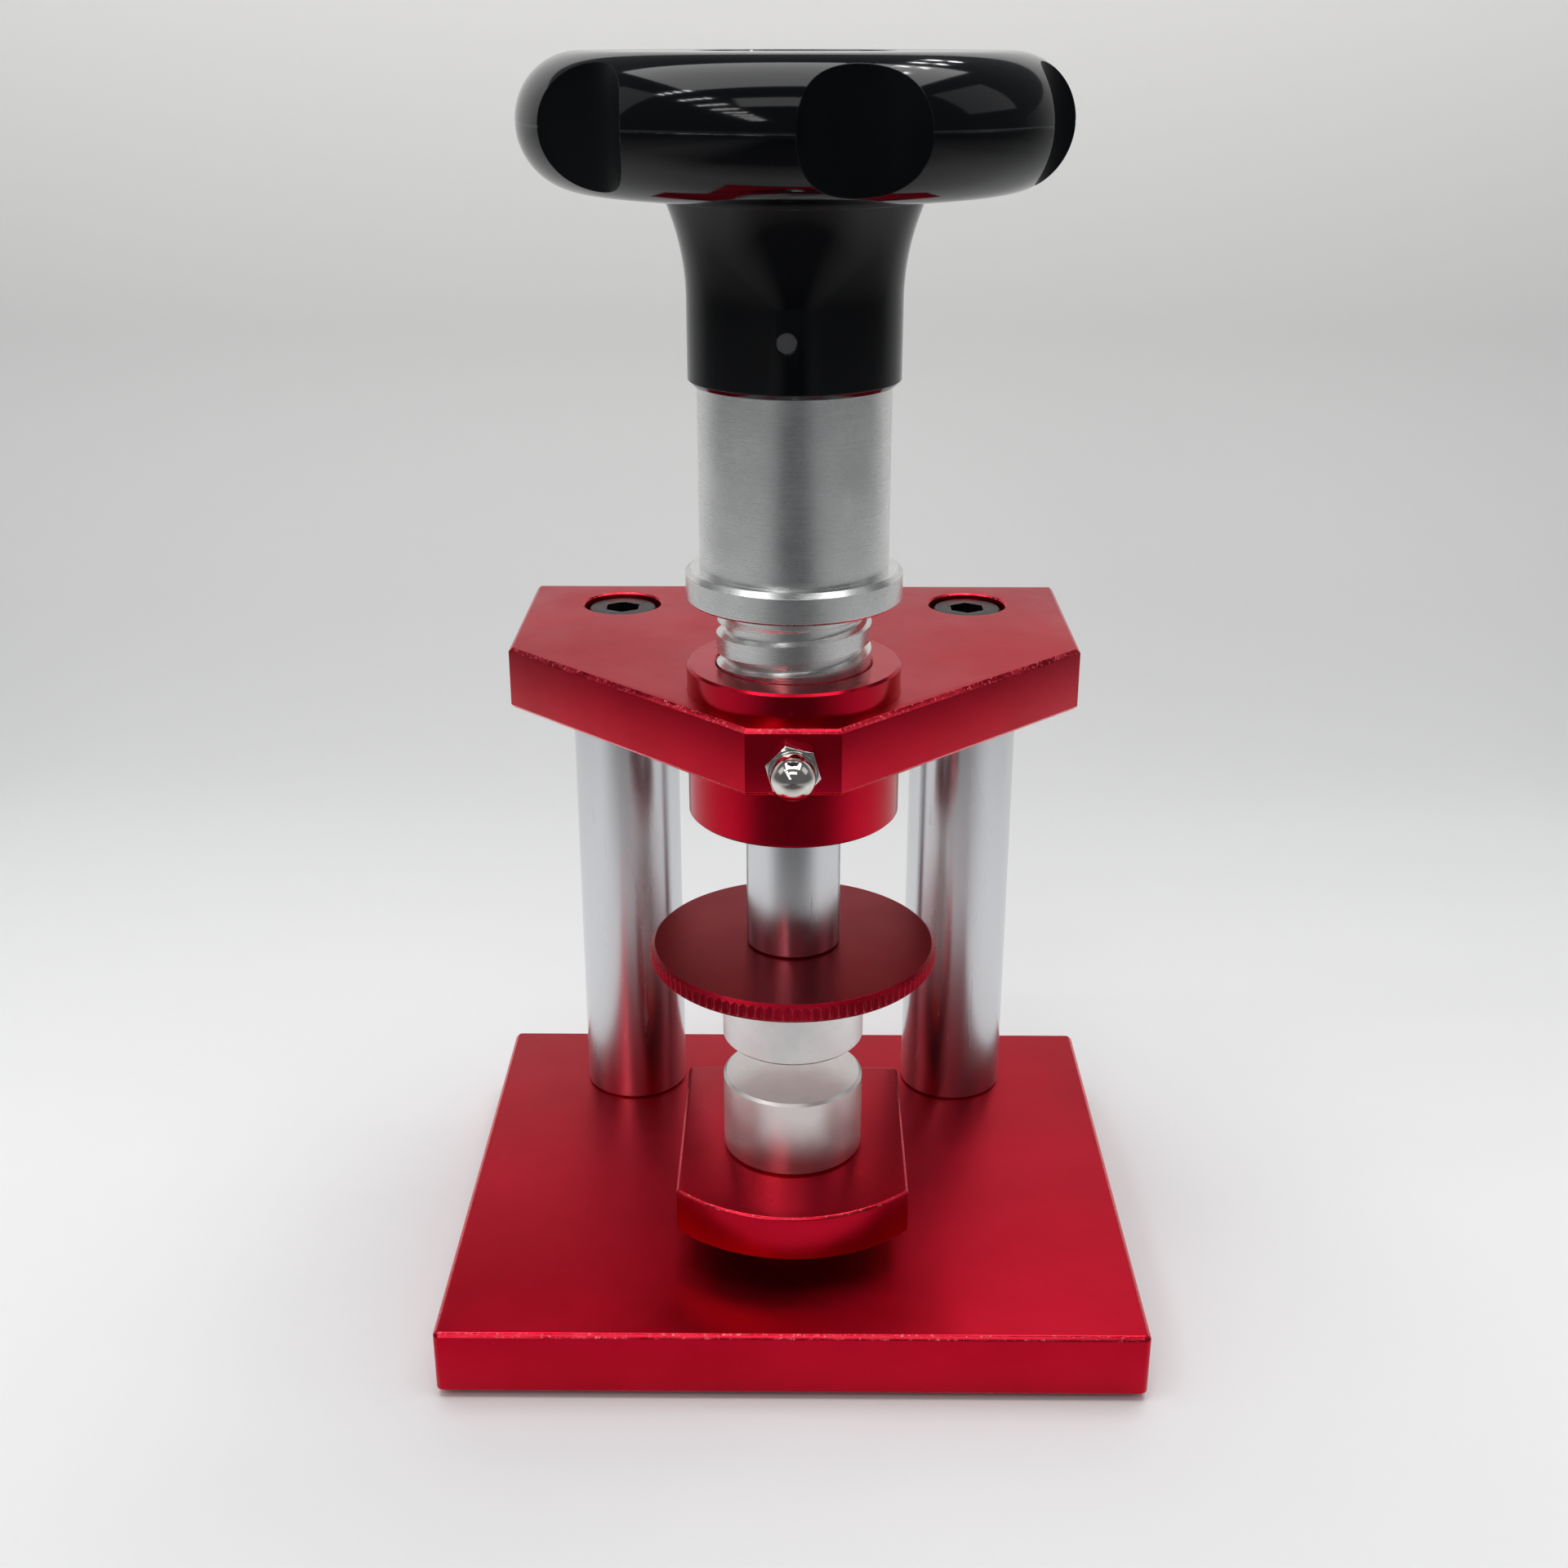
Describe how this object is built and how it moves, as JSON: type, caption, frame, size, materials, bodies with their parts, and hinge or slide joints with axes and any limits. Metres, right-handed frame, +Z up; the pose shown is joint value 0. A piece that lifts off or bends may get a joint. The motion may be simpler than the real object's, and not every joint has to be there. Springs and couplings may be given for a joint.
{
  "type": "watch case press",
  "caption": "Bench press for closing watch cases: a hand wheel on a screw spindle lowers a flat die onto a fixed lower die, above a red base with round columns at its back.",
  "frame": {"origin": "on the bench under the middle of the whole outline in plan", "axes": "+Z up along the press axis, +X to the right of a person at the press, +Y to the back, where the columns are"},
  "size_m": [0.12, 0.1068, 0.212],
  "materials": {
    "red_anodised_aluminium": "satin red anodising",
    "polished_steel": "polished",
    "turned_aluminium": "fine turned satin",
    "black_plastic": "glossy moulding",
    "blackened_steel": "black oxide",
    "nickel_plate": "polished nickel",
    "bearing_steel": "ground",
    "brass": "stamped",
    "black_rubber": "matt"
  },
  "bodies": {
    "frame": {"base_plate": "red_anodised_aluminium", "rubber_feet": "black_rubber", "left_column": "polished_steel", "right_column": "polished_steel", "column_base_screws": "blackened_steel", "column_cap_screws": "blackened_steel", "top_plate": "red_anodised_aluminium", "screw_nut_bush": "red_anodised_aluminium", "bush_lock_stud": "bearing_steel", "acorn_nut": "nickel_plate", "table_pedestal": "red_anodised_aluminium", "table_screw": "blackened_steel", "lower_table": "red_anodised_aluminium", "lower_die_stud": "bearing_steel", "lower_die": "turned_aluminium"},
    "carriage": {"thrust_ball_cage": "brass", "thrust_balls": "bearing_steel"},
    "spindle": {"hand_wheel": "black_plastic", "wheel_drive_pin": "bearing_steel", "screw_spindle": "turned_aluminium", "thrust_plug": "bearing_steel", "thrust_upper_race": "bearing_steel"},
    "shaft": {"thrust_lower_race": "bearing_steel", "press_shaft": "polished_steel", "shaft_retaining_washer": "bearing_steel", "shaft_circlip": "blackened_steel", "knurled_disc": "red_anodised_aluminium", "upper_die_stud": "bearing_steel", "upper_die": "turned_aluminium"}
  },
  "joints": [
    {"name": "press_travel", "type": "slide", "parent": "frame", "child": "carriage", "axis": [0, 0, 1], "range_m": [-0.0075, 0.015]},
    {"name": "wheel_turn", "type": "hinge", "parent": "carriage", "child": "spindle", "pos_m": [0, -0.01255, 0.1301], "axis": [0, 0, 1], "range_deg": [-540, 1080]},
    {"name": "shaft_swivel", "type": "hinge", "parent": "carriage", "child": "shaft", "pos_m": [0, -0.01255, 0.0653], "axis": [0, 0, 1], "continuous": true}
  ],
  "couplings": [
    {"joint": "wheel_turn", "follows": "press_travel", "rad_per_m": 1256.6}
  ]
}
